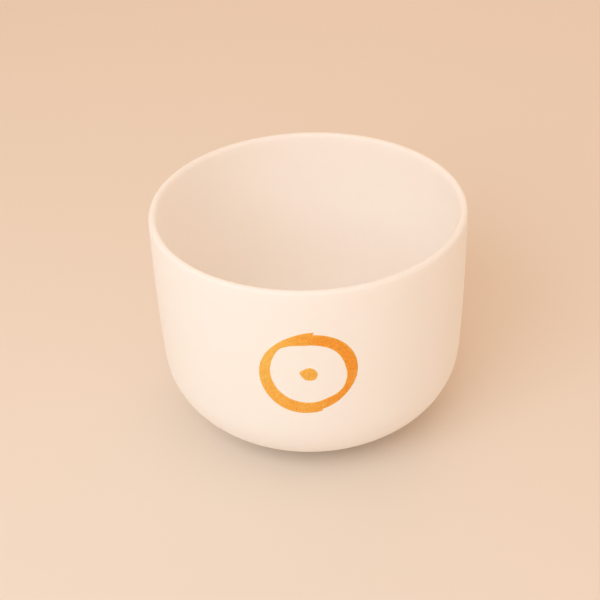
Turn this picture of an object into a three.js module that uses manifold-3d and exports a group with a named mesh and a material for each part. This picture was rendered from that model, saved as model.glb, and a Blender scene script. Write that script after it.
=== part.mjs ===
// A frosted quartz singing bowl on its soft support ring, in millimetres, +Z up.
// The origin is the middle of the ring's underside, where it meets the table. The painted sign faces -Y.
import * as THREE from "three";
import { mergeVertices } from "three/addons/utils/BufferGeometryUtils.js";
import Module from "manifold-3d";

// Bowl, measured outside. Heights of the bowl are counted from its own flat base.
const RIM_RADIUS = 102;
const BOWL_HEIGHT = 147.5;
const WALL = 4.6;
const CORNER_RADIUS = 47;
const WALL_FOOT_RADIUS = 100.4; // where the corner turns into the wall
const BELLY = 0.75; // how far the wall swells past a straight line at mid height

// Support ring, a rubber O-ring pressed a little flat where it bears.
const RING_SECTION = 8;
const RING_MIDDLE_RADIUS = 50;
const RING_FLAT = 3; // width of the flat
const REST_GAP = 0.3; // free play between the ring and the bowl that stands on it

// Painted sign: a ring of two brush strokes and a dot. Places are [across, up] on the unrolled wall.
const SIGN_CENTRE = [-4, 88.2];
const PAINT = 0.25; // thickness of the paint
const PAINT_GAP = 0.15; // between the paint and the wall, so that they stay separate solids
const STROKE_GAP = 0.3; // between the two strokes, where one would run over the other
const LIFT_OFF = 0.06; // share of a stroke's length in which its end may turn slanting
// Each stroke, as [degrees round the sign's centre, radius of its middle, half its width].
const LEFT_STROKE = {
  line: [[84, 28.6, 2.8], [108, 27.4, 2.2], [132, 27, 2], [160, 26.7, 3], [195, 26.9, 3.9],
    [235, 27, 4.5], [262, 26.4, 4.3], [291, 26.2, 3.9]],
  slants: [0.4, 0.8], // how far each end leans along the stroke, in half widths
};
const RIGHT_STROKE = {
  line: [[134, 26.7, 1.2], [118, 25.9, 2.1], [98, 25.4, 3.5], [75, 26.2, 3.9], [48, 27.2, 3.9],
    [15, 27, 3.9], [-12, 26.9, 3], [-34, 26.4, 2.4], [-58, 25.4, 3.2], [-76, 25.4, 3.3], [-92, 25.3, 2.6]],
  slants: [0, 0],
};
// The dot's edge, clockwise from its pointed left end, as [across, up] from its own middle.
const DOT_MIDDLE = [-3.5, 88.3];
const DOT_EDGE = [[-5.7, 1], [-3.4, 3.4], [0.6, 4.8], [3.8, 3], [5.3, -0.2], [3.7, -4], [-0.1, -4.9],
  [-3.3, -3.4]];

// Fineness of the curved surfaces.
const TURN_STEPS = 72;
const CORNER_STEPS = 9;
const WALL_STEPS = 6;
const RIM_STEPS = 6;
const SECTION_STEPS = 5;
const STROKE_STEPS = 40;
const DOT_STEPS = 20;
const WELD = 1e-4; // vertices nearer than this are one

const RING_HEIGHT = Math.sqrt(RING_SECTION ** 2 - RING_FLAT ** 2);
const BOWL_BASE = RING_HEIGHT + REST_GAP;
const RIM_ROUND = WALL / 2;
const WALL_TOP = BOWL_HEIGHT - RIM_ROUND;

const wasm = await Module();
wasm.setup();

const QUARTZ = { color: 0xf6e9dc, roughness: 0.55, metalness: 0 };
const SIGN_PAINT = { color: 0xf0a044, roughness: 0.5, metalness: 0.2 };
const RUBBER = { color: 0x1c1b1a, roughness: 0.85, metalness: 0 };

function piece(name, geometry, finish) {
  const mesh = new THREE.Mesh(geometry, new THREE.MeshStandardMaterial(finish));
  mesh.name = name;
  return mesh;
}

// Outer radius of the bowl's wall at a height above its base, from the corner up to the rim.
function wallRadius(height) {
  const share = (height - CORNER_RADIUS) / (WALL_TOP - CORNER_RADIUS);
  const lean = (RIM_RADIUS - WALL_FOOT_RADIUS) * share;
  return WALL_FOOT_RADIUS + lean + 4 * BELLY * share * (1 - share);
}

// One face of the bowl from the middle of its floor up to the rim's rounding, a depth inside the outer one.
function bowlFace(depth) {
  const points = [new THREE.Vector2(0, depth)];
  const middle = WALL_FOOT_RADIUS - CORNER_RADIUS;
  const bend = CORNER_RADIUS - depth;
  for (let i = 0; i <= CORNER_STEPS; i++) {
    const turn = (i / CORNER_STEPS) * (Math.PI / 2);
    points.push(new THREE.Vector2(middle + bend * Math.sin(turn), CORNER_RADIUS - bend * Math.cos(turn)));
  }
  for (let i = 1; i <= WALL_STEPS; i++) {
    const height = CORNER_RADIUS + ((WALL_TOP - CORNER_RADIUS) * i) / WALL_STEPS;
    points.push(new THREE.Vector2(wallRadius(height) - depth, height));
  }
  return points;
}

// The shell: outer face, half-round rim, inner face.
function bowlShell() {
  const rim = [];
  for (let i = 1; i < RIM_STEPS; i++) {
    const turn = (i / RIM_STEPS) * Math.PI;
    const radius = RIM_RADIUS - RIM_ROUND + RIM_ROUND * Math.cos(turn);
    rim.push(new THREE.Vector2(radius, WALL_TOP + RIM_ROUND * Math.sin(turn)));
  }
  const profile = [...bowlFace(0), ...rim, ...bowlFace(WALL).reverse()];
  return turned(profile).translate(0, 0, BOWL_BASE);
}

// A profile of (radius, height) points turned about +Z.
function turned(profile) {
  return new THREE.LatheGeometry(profile, TURN_STEPS).rotateX(Math.PI / 2);
}

// The ring's section is a circle with a flat above and below.
function supportRing() {
  const profile = [];
  const corner = Math.asin(RING_FLAT / RING_SECTION);
  for (const side of [1, -1]) {
    for (let i = 0; i <= SECTION_STEPS; i++) {
      const turn = corner + ((Math.PI - 2 * corner) * i) / SECTION_STEPS;
      const out = (side * RING_SECTION * Math.sin(turn)) / 2;
      const up = (-side * RING_SECTION * Math.cos(turn)) / 2;
      profile.push(new THREE.Vector2(RING_MIDDLE_RADIUS + out, RING_HEIGHT / 2 + up));
    }
  }
  profile.push(profile[0].clone());
  return turned(profile);
}

// A place on the wall: across and up along it, and out from it.
function onWall(across, up, out) {
  const radius = wallRadius(up) + out;
  const bearing = across / RIM_RADIUS;
  return new THREE.Vector3(radius * Math.sin(bearing), -radius * Math.cos(bearing), BOWL_BASE + up);
}

// Moves each vertex of a simple solid to its place on the wall, and joins the vertices that meet.
function laidOnWall(geometry, place) {
  geometry.deleteAttribute("normal");
  geometry.deleteAttribute("uv");
  const position = geometry.getAttribute("position");
  for (let i = 0; i < position.count; i++) {
    const laid = place(position.getX(i), position.getY(i), position.getZ(i));
    position.setXYZ(i, laid.x, laid.y, laid.z);
  }
  return mergeVertices(geometry, WELD);
}

// The paint that a flat brush leaves along a middle line. "spare" makes it larger all round.
function brushStroke({ line, slants }, spare = 0) {
  const points = line.map(([degrees, radius, half]) => {
    const turn = THREE.MathUtils.degToRad(degrees);
    const across = SIGN_CENTRE[0] + radius * Math.cos(turn);
    const up = SIGN_CENTRE[1] + radius * Math.sin(turn);
    return new THREE.Vector3(across, up, half);
  });
  const middle = new THREE.CatmullRomCurve3(points); // its third number is half the stroke's width
  const strip = new THREE.BoxGeometry(1, 2, 1, STROKE_STEPS, 2, 1);
  return laidOnWall(strip, (x, side, z) => {
    const along = x + 0.5;
    const at = middle.getPointAt(along);
    const half = at.z + spare;
    const way = middle.getTangentAt(along).setZ(0).normalize();
    const left = new THREE.Vector3(-way.y, way.x, 0);
    const nearEnd = Math.max(0, 1 - Math.min(along, 1 - along) / LIFT_OFF);
    const slant = nearEnd * half * (x < 0 ? slants[0] : slants[1]);
    const beyond = nearEnd * spare * Math.sign(x);
    at.addScaledVector(left, side * half).addScaledVector(way, side * slant + beyond);
    const depth = (z + 0.5) * PAINT + 2 * z * spare;
    return onWall(at.x, at.y, PAINT_GAP + depth);
  });
}

// The dot: a round disc of paint whose edge is drawn out to its own outline.
function paintDot() {
  const edge = new THREE.CatmullRomCurve3(DOT_EDGE.map(([x, y]) => new THREE.Vector3(x, y, 0)), true);
  const disc = new THREE.CylinderGeometry(1, 1, 1, DOT_STEPS, 1).rotateX(Math.PI / 2);
  return laidOnWall(disc, (x, y, z) => {
    const share = Math.hypot(x, y);
    const turn = (Math.PI - Math.atan2(y, x)) / (2 * Math.PI);
    const at = edge.getPoint(turn % 1).multiplyScalar(share);
    return onWall(DOT_MIDDLE[0] + at.x, DOT_MIDDLE[1] + at.y, PAINT_GAP + (z + 0.5) * PAINT);
  });
}

function solid(geometry) {
  const vertProperties = geometry.getAttribute("position").array;
  const triVerts = new Uint32Array(geometry.index.array);
  return new wasm.Manifold(new wasm.Mesh({ numProp: 3, vertProperties, triVerts }));
}

// What is left of one stroke when the other, with a gap round it, is taken away: its largest piece.
function clearOf(stroke, other) {
  const left = solid(stroke).subtract(solid(other)).decompose();
  const mesh = left.sort((a, b) => b.volume() - a.volume())[0].getMesh();
  const geometry = new THREE.BufferGeometry();
  geometry.setAttribute("position", new THREE.BufferAttribute(mesh.vertProperties, 3));
  geometry.setIndex(new THREE.BufferAttribute(mesh.triVerts, 1));
  return geometry;
}

const bowl = new THREE.Group();
bowl.add(piece("bowl_shell", bowlShell(), QUARTZ));
bowl.add(piece("sign_stroke_left", brushStroke(LEFT_STROKE), SIGN_PAINT));
const aroundLeft = brushStroke(LEFT_STROKE, STROKE_GAP);
bowl.add(piece("sign_stroke_right", clearOf(brushStroke(RIGHT_STROKE), aroundLeft), SIGN_PAINT));
bowl.add(piece("sign_dot", paintDot(), SIGN_PAINT));

const singingBowl = new THREE.Group();
singingBowl.add(bowl);
singingBowl.add(piece("support_ring", supportRing(), RUBBER));

export default singingBowl;
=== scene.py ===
"""A frosted quartz singing bowl with a hand-painted sun sign, standing on a rubber support ring."""

import math

import bmesh
import bpy
from mathutils import Matrix, Vector, noise


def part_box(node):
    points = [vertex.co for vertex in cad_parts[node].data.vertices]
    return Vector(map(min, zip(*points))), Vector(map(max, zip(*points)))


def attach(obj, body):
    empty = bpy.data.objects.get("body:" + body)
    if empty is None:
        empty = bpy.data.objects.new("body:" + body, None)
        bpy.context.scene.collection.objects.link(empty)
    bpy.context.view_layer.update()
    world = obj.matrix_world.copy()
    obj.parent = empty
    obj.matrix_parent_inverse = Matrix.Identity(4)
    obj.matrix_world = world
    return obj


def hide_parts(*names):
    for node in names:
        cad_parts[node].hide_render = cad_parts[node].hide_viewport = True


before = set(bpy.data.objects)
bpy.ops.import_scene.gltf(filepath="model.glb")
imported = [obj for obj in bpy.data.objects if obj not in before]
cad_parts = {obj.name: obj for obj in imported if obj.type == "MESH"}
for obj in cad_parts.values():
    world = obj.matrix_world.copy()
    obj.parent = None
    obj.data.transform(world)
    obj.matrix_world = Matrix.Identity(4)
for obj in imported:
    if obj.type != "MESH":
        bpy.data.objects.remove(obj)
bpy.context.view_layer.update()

MM = 0.001
scene = bpy.context.scene

# ---------------------------------------------------------------------------------------------
# The bowl's form, in metres. Heights on the bowl are counted from its own flat base.
SHELL_LOW, SHELL_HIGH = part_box("bowl_shell")
RING_LOW, RING_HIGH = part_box("support_ring")
BOWL_BASE = SHELL_LOW.z
BOWL_HEIGHT = SHELL_HIGH.z - SHELL_LOW.z
RIM_RADIUS = 102 * MM
WALL = 4.6 * MM
CORNER_RADIUS = 47 * MM
WALL_FOOT_RADIUS = 100.4 * MM  # where the corner turns into the wall
BELLY = 0.75 * MM  # how far the wall swells past a straight line
RIM_ROUND = WALL / 2
WALL_TOP = BOWL_HEIGHT - RIM_ROUND

# The support ring: an O-ring pressed a little flat where it bears.
RING_HEIGHT = RING_HIGH.z - RING_LOW.z
RING_OUTSIDE = RING_HIGH.x
RING_SECTION = 8 * MM
RING_MIDDLE = RING_OUTSIDE - RING_SECTION / 2
PARTING_LINE = 0.12 * MM  # height of the moulding flash round the ring
PARTING_WIDTH = 0.8  # half of the flash's width, in steps round the ring's section

# The painted sign, on the unrolled wall: (across, up) in millimetres from the front of the bowl's base.
SIGN_CENTRE = (-4, 88.2)
# Each stroke, as (degrees round the sign's centre, radius of its middle, half its width, load of the brush).
LEFT_STROKE = [
    (84, 28.6, 2.8, 0.7), (108, 27.4, 2.2, 0.5), (132, 27.0, 2.0, 0.2), (160, 26.7, 3.0, 0.2),
    (195, 26.9, 3.9, 0.3), (235, 27.0, 4.5, 0.5), (262, 26.4, 4.3, 0.5), (291, 26.2, 3.9, 0.5),
]
LEFT_SLANTS = (0.4, 0.8)  # how far each end leans along the stroke, in half widths
RIGHT_STROKE = [
    (134, 26.7, 1.2, 0.2), (118, 25.9, 2.1, 0.4), (98, 25.4, 3.5, 0.7), (75, 26.2, 3.9, 0.9),
    (48, 27.2, 3.9, 1.0), (15, 27.0, 3.9, 1.0), (-12, 26.9, 3.0, 0.9), (-34, 26.4, 2.4, 0.9),
    (-58, 25.4, 3.2, 0.9), (-76, 25.4, 3.3, 0.7), (-92, 25.3, 2.6, 0.5),
]
RIGHT_SLANTS = (0.0, 0.0)
LIFT_OFF = 0.06  # share of a stroke's length in which its end may turn slanting
EDGE_WOBBLE = 0.12  # how far the bristles stray at the edge, in millimetres
WOBBLES = 30  # along a stroke
RIDGE_DEPTH = 0.35  # of the ridges that the bristles leave, as a share of the paint
RIDGES_ACROSS = 7  # from a stroke's middle to its edge
RIDGES_ALONG = 4
EDGE_POWER = 6  # the higher, the nearer to its edge the paint stays full
END_ROWS = 3  # rows of points over which a stroke's end thins out
PAINT = 0.16 * MM
PAINT_LIFT = 0.02 * MM
FILM_BACK = 0.2  # how far a film's back stands off the wall, as a share of its lift
PAINT_DEPTH = "paint_depth"  # the mesh attribute that holds a film's depth of colour
OVERLAP_LIFT = 0.07 * MM  # the second stroke lies on the first where they cross
# The dot's edge, clockwise from its pointed left end, as (across, up) from its own middle.
DOT_MIDDLE = (-3.5, 88.3)
DOT_EDGE = [
    (-5.7, 1), (-3.4, 3.4), (0.6, 4.8), (3.8, 3), (5.3, -0.2), (3.7, -4), (-0.1, -4.9), (-3.3, -3.4),
]
DOT_LOAD = 0.25
DOT_FULLNESS = 1.1

# Fineness of the meshes.
BOWL_TURN_STEPS = 288
FLOOR_STEPS = 8
CORNER_STEPS = 36
WALL_STEPS = 40
RIM_STEPS = 14
RING_TURN_STEPS = 240
SECTION_STEPS = 24
STROKE_STEPS = 240
STROKE_SIDES = 9  # rows of points on each side of a stroke's middle
DOT_STEPS = 72
DOT_RINGS = 8
WELD = 0.002 * MM  # points nearer than this are one


# ---------------------------------------------------------------------------------------------
# Mesh building

def mesh_object(name, points, faces, depths=None):
    """A smooth-shaded object. Points that meet are joined, and the faces are turned outwards.

    depths gives each point of a paint film its depth of colour.
    """
    mesh = bpy.data.meshes.new(name)
    mesh.from_pydata(points, [], faces)
    if depths:
        mesh.attributes.new(PAINT_DEPTH, "FLOAT", "POINT").data.foreach_set("value", depths)
    work = bmesh.new()
    work.from_mesh(mesh)
    bmesh.ops.remove_doubles(work, verts=work.verts, dist=WELD)
    bmesh.ops.recalc_face_normals(work, faces=work.faces)
    work.to_mesh(mesh)
    work.free()
    mesh.shade_smooth()
    made = bpy.data.objects.new(name, mesh)
    scene.collection.objects.link(made)
    return made


def turned(name, profile, steps):
    """A closed profile of (radius, height) turned about +Z. It may start and end on the axis."""
    points, rows = [], []
    for radius, height in profile:
        turns = steps if radius > 0 else 1
        rows.append([len(points) + i for i in range(turns)])
        for i in range(turns):
            turn = 2 * math.pi * i / steps
            points.append(Vector((radius * math.cos(turn), radius * math.sin(turn), height)))
    faces = []
    pairs = list(zip(rows, rows[1:]))
    if len(rows[0]) > 1:
        pairs.append((rows[-1], rows[0]))
    for low, high in pairs:
        for i in range(steps):
            j = (i + 1) % steps
            corners = [low[i % len(low)], low[j % len(low)], high[j % len(high)], high[i % len(high)]]
            faces.append(list(dict.fromkeys(corners)))
    return mesh_object(name, points, faces)


def wall_radius(height):
    """Outer radius of the bowl's wall at a height above its base, from the corner up to the rim."""
    share = (height - CORNER_RADIUS) / (WALL_TOP - CORNER_RADIUS)
    lean = (RIM_RADIUS - WALL_FOOT_RADIUS) * share
    return WALL_FOOT_RADIUS + lean + 4 * BELLY * share * (1 - share)


def bowl_face(depth):
    """One face of the bowl, a depth inside the outer one, from its floor's middle to the rim's rounding."""
    middle = WALL_FOOT_RADIUS - CORNER_RADIUS
    bend = CORNER_RADIUS - depth
    points = [(middle * i / FLOOR_STEPS, depth) for i in range(FLOOR_STEPS)]
    for i in range(CORNER_STEPS + 1):
        turn = i / CORNER_STEPS * math.pi / 2
        points.append((middle + bend * math.sin(turn), CORNER_RADIUS - bend * math.cos(turn)))
    for i in range(1, WALL_STEPS + 1):
        height = CORNER_RADIUS + (WALL_TOP - CORNER_RADIUS) * i / WALL_STEPS
        points.append((wall_radius(height) - depth, height))
    return points


def bowl_shell():
    """The shell: outer face, rounded rim, inner face."""
    rim = []
    for i in range(1, RIM_STEPS):
        turn = i / RIM_STEPS * math.pi
        radius = RIM_RADIUS - RIM_ROUND + RIM_ROUND * math.cos(turn)
        rim.append((radius, WALL_TOP + RIM_ROUND * math.sin(turn)))
    profile = bowl_face(0) + rim + bowl_face(WALL)[::-1]
    raised = [(radius, height + BOWL_BASE) for radius, height in profile]
    return turned("quartz_bowl", raised, BOWL_TURN_STEPS)


def support_ring():
    """The ring's section is a circle with two flats, and a fine parting line outside and inside."""
    corner = math.acos(RING_HEIGHT / RING_SECTION)
    profile = []
    for side in (1, -1):
        for i in range(SECTION_STEPS + 1):
            turn = corner + (math.pi - 2 * corner) * i / SECTION_STEPS
            flash = PARTING_LINE * math.exp(-((i - SECTION_STEPS / 2) / PARTING_WIDTH) ** 2)
            reach = RING_SECTION / 2 + flash
            out, up = side * reach * math.sin(turn), -side * reach * math.cos(turn)
            profile.append((RING_MIDDLE + out, RING_HEIGHT / 2 + up))
    return turned("rubber_ring", profile, RING_TURN_STEPS)


def on_wall(across, up, out):
    """A place on the wall, from millimetres across and up the unrolled wall and metres out from it."""
    height = up * MM
    radius = wall_radius(height) + out
    bearing = across * MM / RIM_RADIUS
    return Vector((radius * math.sin(bearing), -radius * math.cos(bearing), BOWL_BASE + height))


def smooth_through(values, share, closed=False):
    """A point on the smooth line through a list of places, at a share of its way."""
    spans = len(values) if closed else len(values) - 1
    whole = min(int(share * spans), spans - 1)
    part = share * spans - whole

    def pick(i):
        i = i % len(values) if closed else min(max(i, 0), len(values) - 1)
        return Vector(values[i])

    before, start, end, after = (pick(whole + i) for i in (-1, 0, 1, 2))
    return 0.5 * (2 * start + (end - before) * part
                  + (2 * before - 5 * start + 4 * end - after) * part ** 2
                  + (3 * start - before - 3 * end + after) * part ** 3)


def stroke_middle(line, along):
    """At a share of a stroke's length: its middle, the way it runs, half its width and the brush's load."""
    def at(share):
        degrees, radius, half, load = smooth_through(line, min(max(share, 0), 1))
        turn = math.radians(degrees)
        across = SIGN_CENTRE[0] + radius * math.cos(turn)
        up = SIGN_CENTRE[1] + radius * math.sin(turn)
        return Vector((across, up)), half, load

    step = 0.002  # share of the stroke's length on each side, from which its way is taken
    middle, half, load = at(along)
    way = (at(along + step)[0] - at(along - step)[0]).normalized()
    return middle, way, half, load


def paint_film(name, rows, lift):
    """A film of paint on the wall. Rows of (across, up, fullness, load) run from one edge of it to the other.

    Where its fullness is 1 the paint is PAINT deep, and an edge with no fullness joins the film's back.
    """
    points, depths, front, back = [], [], [], []
    for row in rows:
        front.append([])
        back.append([])
        for across, up, fullness, load in row:
            front[-1].append(len(points))
            points.append(on_wall(across, up, lift + PAINT * fullness))
            depths.append(fullness * load)
            if fullness > 0:
                back[-1].append(len(points))
                points.append(on_wall(across, up, lift * FILM_BACK))
                depths.append(load)
            else:
                back[-1].append(front[-1][-1])
    faces = []
    for sheet, outward in ((front, True), (back, False)):
        for low, high in zip(sheet, sheet[1:]):
            for i in range(len(low) - 1):
                corners = [low[i], low[i + 1], high[i + 1], high[i]]
                faces.append(corners if outward else corners[::-1])
    film = mesh_object(name, points, faces, depths)
    # The film is thin enough for light to reach the milky quartz under it.
    film.visible_shadow = False
    film.visible_diffuse = False
    return film


def brush_stroke(name, line, slants, lift, seed):
    """Paint laid by a flat brush, with fine ridges along it from the bristles, and thin at its edges."""
    rows = []
    for i in range(STROKE_STEPS + 1):
        along = i / STROKE_STEPS
        middle, way, half, load = stroke_middle(line, along)
        left = Vector((-way.y, way.x))
        near_end = max(0, 1 - min(along, 1 - along) / LIFT_OFF)
        slant = near_end * half * slants[0 if along < 0.5 else 1]
        end = min(1.0, min(i, STROKE_STEPS - i) / END_ROWS) ** 0.5
        row = []
        for j in range(-STROKE_SIDES, STROKE_SIDES + 1):
            side = math.sin(j / STROKE_SIDES * math.pi / 2)
            # Each edge strays in its own way, and the ridges in another.
            sway = noise.noise(Vector((along * WOBBLES, math.copysign(2, side), seed)))
            ridge = noise.noise(Vector((along * RIDGES_ALONG, side * RIDGES_ACROSS, seed + 5)))
            edge = max(0.0, 1 - abs(side) ** EDGE_POWER) ** 0.5
            place = middle + left * side * (half + EDGE_WOBBLE * sway) + way * (side * slant)
            at_edge = abs(j) == STROKE_SIDES or i in (0, STROKE_STEPS)
            fullness = 0 if at_edge else edge * end * (1 + RIDGE_DEPTH * ridge)
            row.append((place.x, place.y, fullness, load))
        rows.append(row)
    return paint_film(name, rows, lift)


def paint_dot(name, lift):
    """One dab of the brush, drawn to a point where it left the wall."""
    rows = []
    for i in range(DOT_STEPS + 1):
        edge = smooth_through(DOT_EDGE, (i % DOT_STEPS) / DOT_STEPS, closed=True)
        row = []
        for j in range(DOT_RINGS + 1):
            share = math.sin(j / DOT_RINGS * math.pi / 2)
            fullness = 0 if j == DOT_RINGS else (1 - share ** EDGE_POWER) ** 0.5 * DOT_FULLNESS
            across = DOT_MIDDLE[0] + edge.x * share
            up = DOT_MIDDLE[1] + edge.y * share
            row.append((across, up, fullness, DOT_LOAD))
        rows.append(row)
    return paint_film(name, rows, lift)


# ---------------------------------------------------------------------------------------------
# Materials

def srgb(code):
    """A colour from its sRGB hex code, as the linear values that the shaders take."""
    parts = [int(code[i:i + 2], 16) / 255 for i in (0, 2, 4)]
    return tuple(c / 12.92 if c <= 0.04045 else ((c + 0.055) / 1.055) ** 2.4 for c in parts) + (1.0,)


def per(size):
    """The texture scale that gives a pattern of this real size, in millimetres."""
    return 1 / (size * MM)


def new_material(name):
    """A material with no nodes."""
    material = bpy.data.materials.new(name)
    material.use_nodes = True
    material.node_tree.nodes.clear()
    return material


def add(material, kind, inputs, **settings):
    """Adds a shader node with its settings, and sets or links its inputs."""
    tree = material.node_tree
    made = tree.nodes.new("ShaderNode" + kind)
    for key, value in settings.items():
        setattr(made, key, value)
    for key, value in inputs.items():
        if isinstance(value, bpy.types.NodeSocket):
            tree.links.new(value, made.inputs[key])
        else:
            made.inputs[key].default_value = value
    return made


def frosted_quartz():
    """Fused quartz, spun in a mould and left with its sandy skin.

    The skin is a satin with a fine grain and no sharp highlight. Light goes into the milky wall and through
    it, so the edges between light and shade are soft, and the inside is lit through the wall.
    """
    quartz = new_material("frosted_quartz")
    place = add(quartz, "TexCoord", {}).outputs["Object"]
    # Clouds in the milk are 45 mm wide.
    cloud = add(quartz, "TexNoise", {"Vector": place, "Scale": per(45), "Detail": 3.0, "Roughness": 0.55})
    # The grit of the mould is finer than 0.9 mm, and is drawn coarse enough to show.
    grit = add(quartz, "TexNoise", {"Vector": place, "Scale": per(0.9), "Detail": 2.0, "Roughness": 0.6})
    # Spinning leaves faint bands round the wall, 180 mm long and a fourteenth of that high.
    flat = add(quartz, "Mapping", {"Vector": place, "Scale": (1.0, 1.0, 14.0)})
    band = add(quartz, "TexNoise", {"Vector": flat.outputs[0], "Scale": per(180), "Detail": 2.0})
    # Here and there, about 13 mm apart, a bubble in the quartz shows as a speck.
    bubble = add(quartz, "TexVoronoi", {"Vector": place, "Scale": per(13), "Randomness": 1.0})
    speck = add(quartz, "MapRange", {
        "Value": bubble.outputs["Distance"],
        "From Min": 0.025, "From Max": 0.06, "To Min": 0.12, "To Max": 0.0,
    })
    milk = add(quartz, "Mix", {
        0: cloud.outputs[0], 6: srgb("FDF7F0"), 7: srgb("FEFBF7"),
    }, data_type="RGBA")
    colour = add(quartz, "Mix", {
        0: speck.outputs[0], 6: milk.outputs[2], 7: srgb("D9C7B4"),
    }, data_type="RGBA")
    rough = add(quartz, "MapRange", {"Value": grit.outputs[0], "To Min": 0.50, "To Max": 0.66})
    wave = add(quartz, "Bump", {"Height": band.outputs[0], "Strength": 0.25, "Distance": 0.4 * MM})
    skin = add(quartz, "Bump", {
        "Height": grit.outputs[0], "Normal": wave.outputs[0], "Strength": 0.35, "Distance": 0.08 * MM,
    })
    surface = add(quartz, "BsdfPrincipled", {
        "Base Color": colour.outputs[2], "Roughness": rough.outputs[0], "Normal": skin.outputs[0],
        "IOR": 1.46, "Subsurface Weight": 1.0, "Subsurface Radius": (1.0, 0.92, 0.86),
        "Subsurface Scale": 18 * MM, "Subsurface Anisotropy": 0.3,
    })
    add(quartz, "OutputMaterial", {"Surface": surface.outputs[0]})
    return quartz


def brushed_acrylic():
    """Acrylic artist's paint with fine gold pigment, brushed on by hand.

    It is a golden orange film with a satin sheen. Pigment grain breaks up its colour. Where the brush was
    full it is a deep orange, and where it ran dry, and along its thin edges, it is yellower.
    """
    paint = new_material("brushed_acrylic")
    place = add(paint, "TexCoord", {}).outputs["Object"]
    depth = add(paint, "Attribute", {}, attribute_name=PAINT_DEPTH).outputs["Fac"]
    # The depth varies in patches 9 mm wide, as the brush does.
    patch = add(paint, "TexNoise", {"Vector": place, "Scale": per(9), "Detail": 2.0})
    uneven = add(paint, "MapRange", {
        "Value": patch.outputs[0],
        "From Min": 0.3, "From Max": 0.7, "To Min": -0.15, "To Max": 0.15,
    })
    load = add(paint, "Math", {0: depth, 1: uneven.outputs[0]}, operation="ADD", use_clamp=True)
    # Pigment flakes are finer than 0.8 mm, and are drawn coarse enough to show.
    flakes = add(paint, "TexNoise", {"Vector": place, "Scale": per(0.8), "Detail": 2.0, "Roughness": 0.8})
    bare = add(paint, "MapRange", {
        "Value": flakes.outputs[0],
        "From Min": 0.38, "From Max": 0.56, "To Min": 0.52, "To Max": 0.0,
    })
    # The grain shows most where the paint is deep.
    seen = add(paint, "MapRange", {"Value": load.outputs[0], "To Min": 0.55, "To Max": 1.0})
    grain = add(paint, "Math", {0: bare.outputs[0], 1: seen.outputs[0]}, operation="MULTIPLY")
    body = add(paint, "Mix", {
        0: load.outputs[0], 6: srgb("F8C95C"), 7: srgb("FCA42B"),
    }, data_type="RGBA")
    colour = add(paint, "Mix", {
        0: grain.outputs[0], 6: body.outputs[2], 7: srgb("BC6C1C"),
    }, data_type="RGBA")
    relief = add(paint, "Bump", {"Height": flakes.outputs[0], "Strength": 0.5, "Distance": 0.06 * MM})
    rough = add(paint, "MapRange", {"Value": flakes.outputs[0], "To Min": 0.38, "To Max": 0.6})
    surface = add(paint, "BsdfPrincipled", {
        "Base Color": colour.outputs[2], "Roughness": rough.outputs[0], "Normal": relief.outputs[0],
        "IOR": 1.48, "Metallic": 0.1,
    })
    add(paint, "OutputMaterial", {"Surface": surface.outputs[0]})
    return paint


def moulded_rubber():
    """Black nitrile rubber, moulded: matt, with a faint grey bloom and a fine skin."""
    rubber = new_material("moulded_rubber")
    place = add(rubber, "TexCoord", {}).outputs["Object"]
    # The bloom lies in patches 9 mm wide. The skin's grain is 0.5 mm.
    bloom = add(rubber, "TexNoise", {"Vector": place, "Scale": per(9), "Detail": 4.0, "Roughness": 0.6})
    skin = add(rubber, "TexNoise", {"Vector": place, "Scale": per(0.5), "Detail": 2.0})
    tone = add(rubber, "MapRange", {"Value": bloom.outputs[0], "From Min": 0.4, "From Max": 0.7})
    colour = add(rubber, "Mix", {
        0: tone.outputs[0], 6: srgb("1E1D1C"), 7: srgb("35322F"),
    }, data_type="RGBA")
    rough = add(rubber, "MapRange", {"Value": bloom.outputs[0], "To Min": 0.62, "To Max": 0.85})
    relief = add(rubber, "Bump", {"Height": skin.outputs[0], "Strength": 0.3, "Distance": 0.05 * MM})
    surface = add(rubber, "BsdfPrincipled", {
        "Base Color": colour.outputs[2], "Roughness": rough.outputs[0], "Normal": relief.outputs[0],
        "IOR": 1.52,
    })
    add(rubber, "OutputMaterial", {"Surface": surface.outputs[0]})
    return rubber


def matt_card():
    """The floor is a plain pale sheet of matt card, with no sheen."""
    card = new_material("matt_card")
    surface = add(card, "BsdfPrincipled", {"Base Color": srgb("E9E0D6"), "Roughness": 0.9, "IOR": 1.45})
    add(card, "OutputMaterial", {"Surface": surface.outputs[0]})
    return card


# ---------------------------------------------------------------------------------------------
# Camera, light and floor

# The camera stands in front of the bowl and a little to its left, and looks down at it.
CAMERA_BACK = 716.7 * MM
CAMERA_SIDE = -7.2 * MM
CAMERA_ABOVE_BASE = 563.2 * MM
CAMERA_PITCH = math.radians(34.36)
CAMERA_ROLL = math.radians(-2.24)
LENS = 77.34  # millimetres
SENSOR = 36.0
NEAREST = 0.01  # the closest thing that the camera shows

LIGHT_DISTANCE = 1.6
LIGHT_SIZE = 1.2
FLOOR_SIZE = 14.0


def camera():
    """The camera is level but for a slight roll, and is pitched down at the bowl."""
    data = bpy.data.cameras.new("camera")
    data.lens = LENS
    data.sensor_width = SENSOR
    data.clip_start = NEAREST
    made = bpy.data.objects.new("camera", data)
    scene.collection.objects.link(made)
    ahead = Vector((0, math.cos(CAMERA_PITCH), -math.sin(CAMERA_PITCH)))
    level = Vector((1, 0, 0))
    above = level.cross(ahead)
    right = math.cos(CAMERA_ROLL) * level + math.sin(CAMERA_ROLL) * above
    up = right.cross(ahead)
    turn = Matrix((right, up, -ahead)).transposed().to_4x4()
    stand = (CAMERA_SIDE, -CAMERA_BACK, BOWL_BASE + CAMERA_ABOVE_BASE)
    made.matrix_world = Matrix.Translation(stand) @ turn
    scene.camera = made


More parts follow.
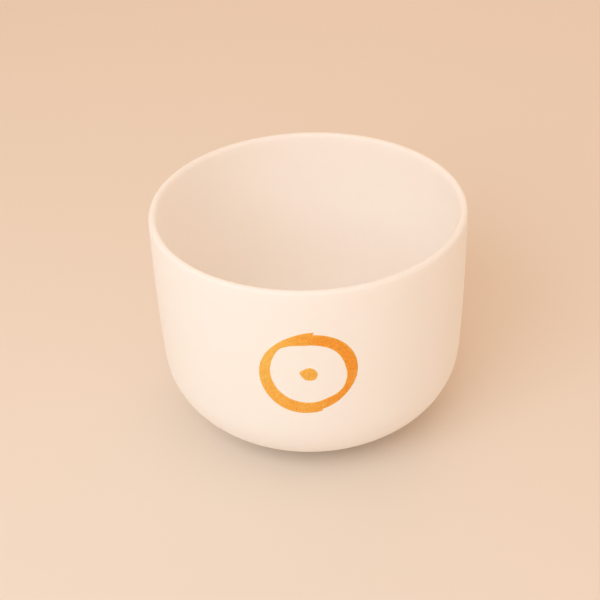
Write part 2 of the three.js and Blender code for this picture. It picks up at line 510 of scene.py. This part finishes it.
def soft_light(name, bearing, rise, power, colour):
    """A square soft box that faces the bowl. Its bearing is counted from the front, to the right."""
    data = bpy.data.lights.new(name, "AREA")
    data.size = LIGHT_SIZE
    data.energy = power
    data.color = srgb(colour)[:3]
    made = bpy.data.objects.new(name, data)
    scene.collection.objects.link(made)
    bearing, rise = math.radians(bearing), math.radians(rise)
    level = math.cos(rise)
    way = Vector((math.sin(bearing) * level, -math.cos(bearing) * level, math.sin(rise)))
    target = Vector((0, 0, BOWL_BASE + BOWL_HEIGHT / 2))
    made.location = target + way * LIGHT_DISTANCE
    made.rotation_mode = "QUATERNION"
    made.rotation_quaternion = (-way).to_track_quat("-Z", "Y")


def room_light(colour, strength):
    """Even light from all round, as in a bright room."""
    world = bpy.data.worlds.new("room")
    world.use_nodes = True
    sky = world.node_tree.nodes["Background"]
    sky.inputs["Color"].default_value = srgb(colour)
    sky.inputs["Strength"].default_value = strength
    scene.world = world


def floor():
    """The floor is wide enough to fill the view from any side."""
    half = FLOOR_SIZE / 2
    corners = [(-half, -half, 0), (half, -half, 0), (half, half, 0), (-half, half, 0)]
    made = mesh_object("floor", corners, [(0, 1, 2, 3)])
    made.data.materials.append(matt_card())


# ---------------------------------------------------------------------------------------------
# The object

def fit(piece, body, node, material):
    """Puts a finished piece in the place of its CAD node."""
    piece.data.materials.append(material)
    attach(piece, body)
    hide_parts(node)


bowl = bowl_shell()
left_stroke = brush_stroke("paint_stroke_left", LEFT_STROKE, LEFT_SLANTS, PAINT_LIFT, seed=1)
right_stroke = brush_stroke("paint_stroke_right", RIGHT_STROKE, RIGHT_SLANTS, OVERLAP_LIFT, seed=2)
dot = paint_dot("paint_dot", PAINT_LIFT)
ring = support_ring()

paint = brushed_acrylic()
fit(bowl, "bowl", "bowl_shell", frosted_quartz())
fit(left_stroke, "bowl", "sign_stroke_left", paint)
fit(right_stroke, "bowl", "sign_stroke_right", paint)
fit(dot, "bowl", "sign_dot", paint)
fit(ring, "ring", "support_ring", moulded_rubber())

camera()
floor()
soft_light("key", bearing=-30, rise=39, power=12.7, colour="D4F0FF")
soft_light("fill", bearing=165, rise=40, power=1.8, colour="FFE4D0")
soft_light("top", bearing=0, rise=90, power=0.9, colour="FFDCC0")
room_light("FFDBBC", 0.83)
scene.view_settings.view_transform = "Standard"
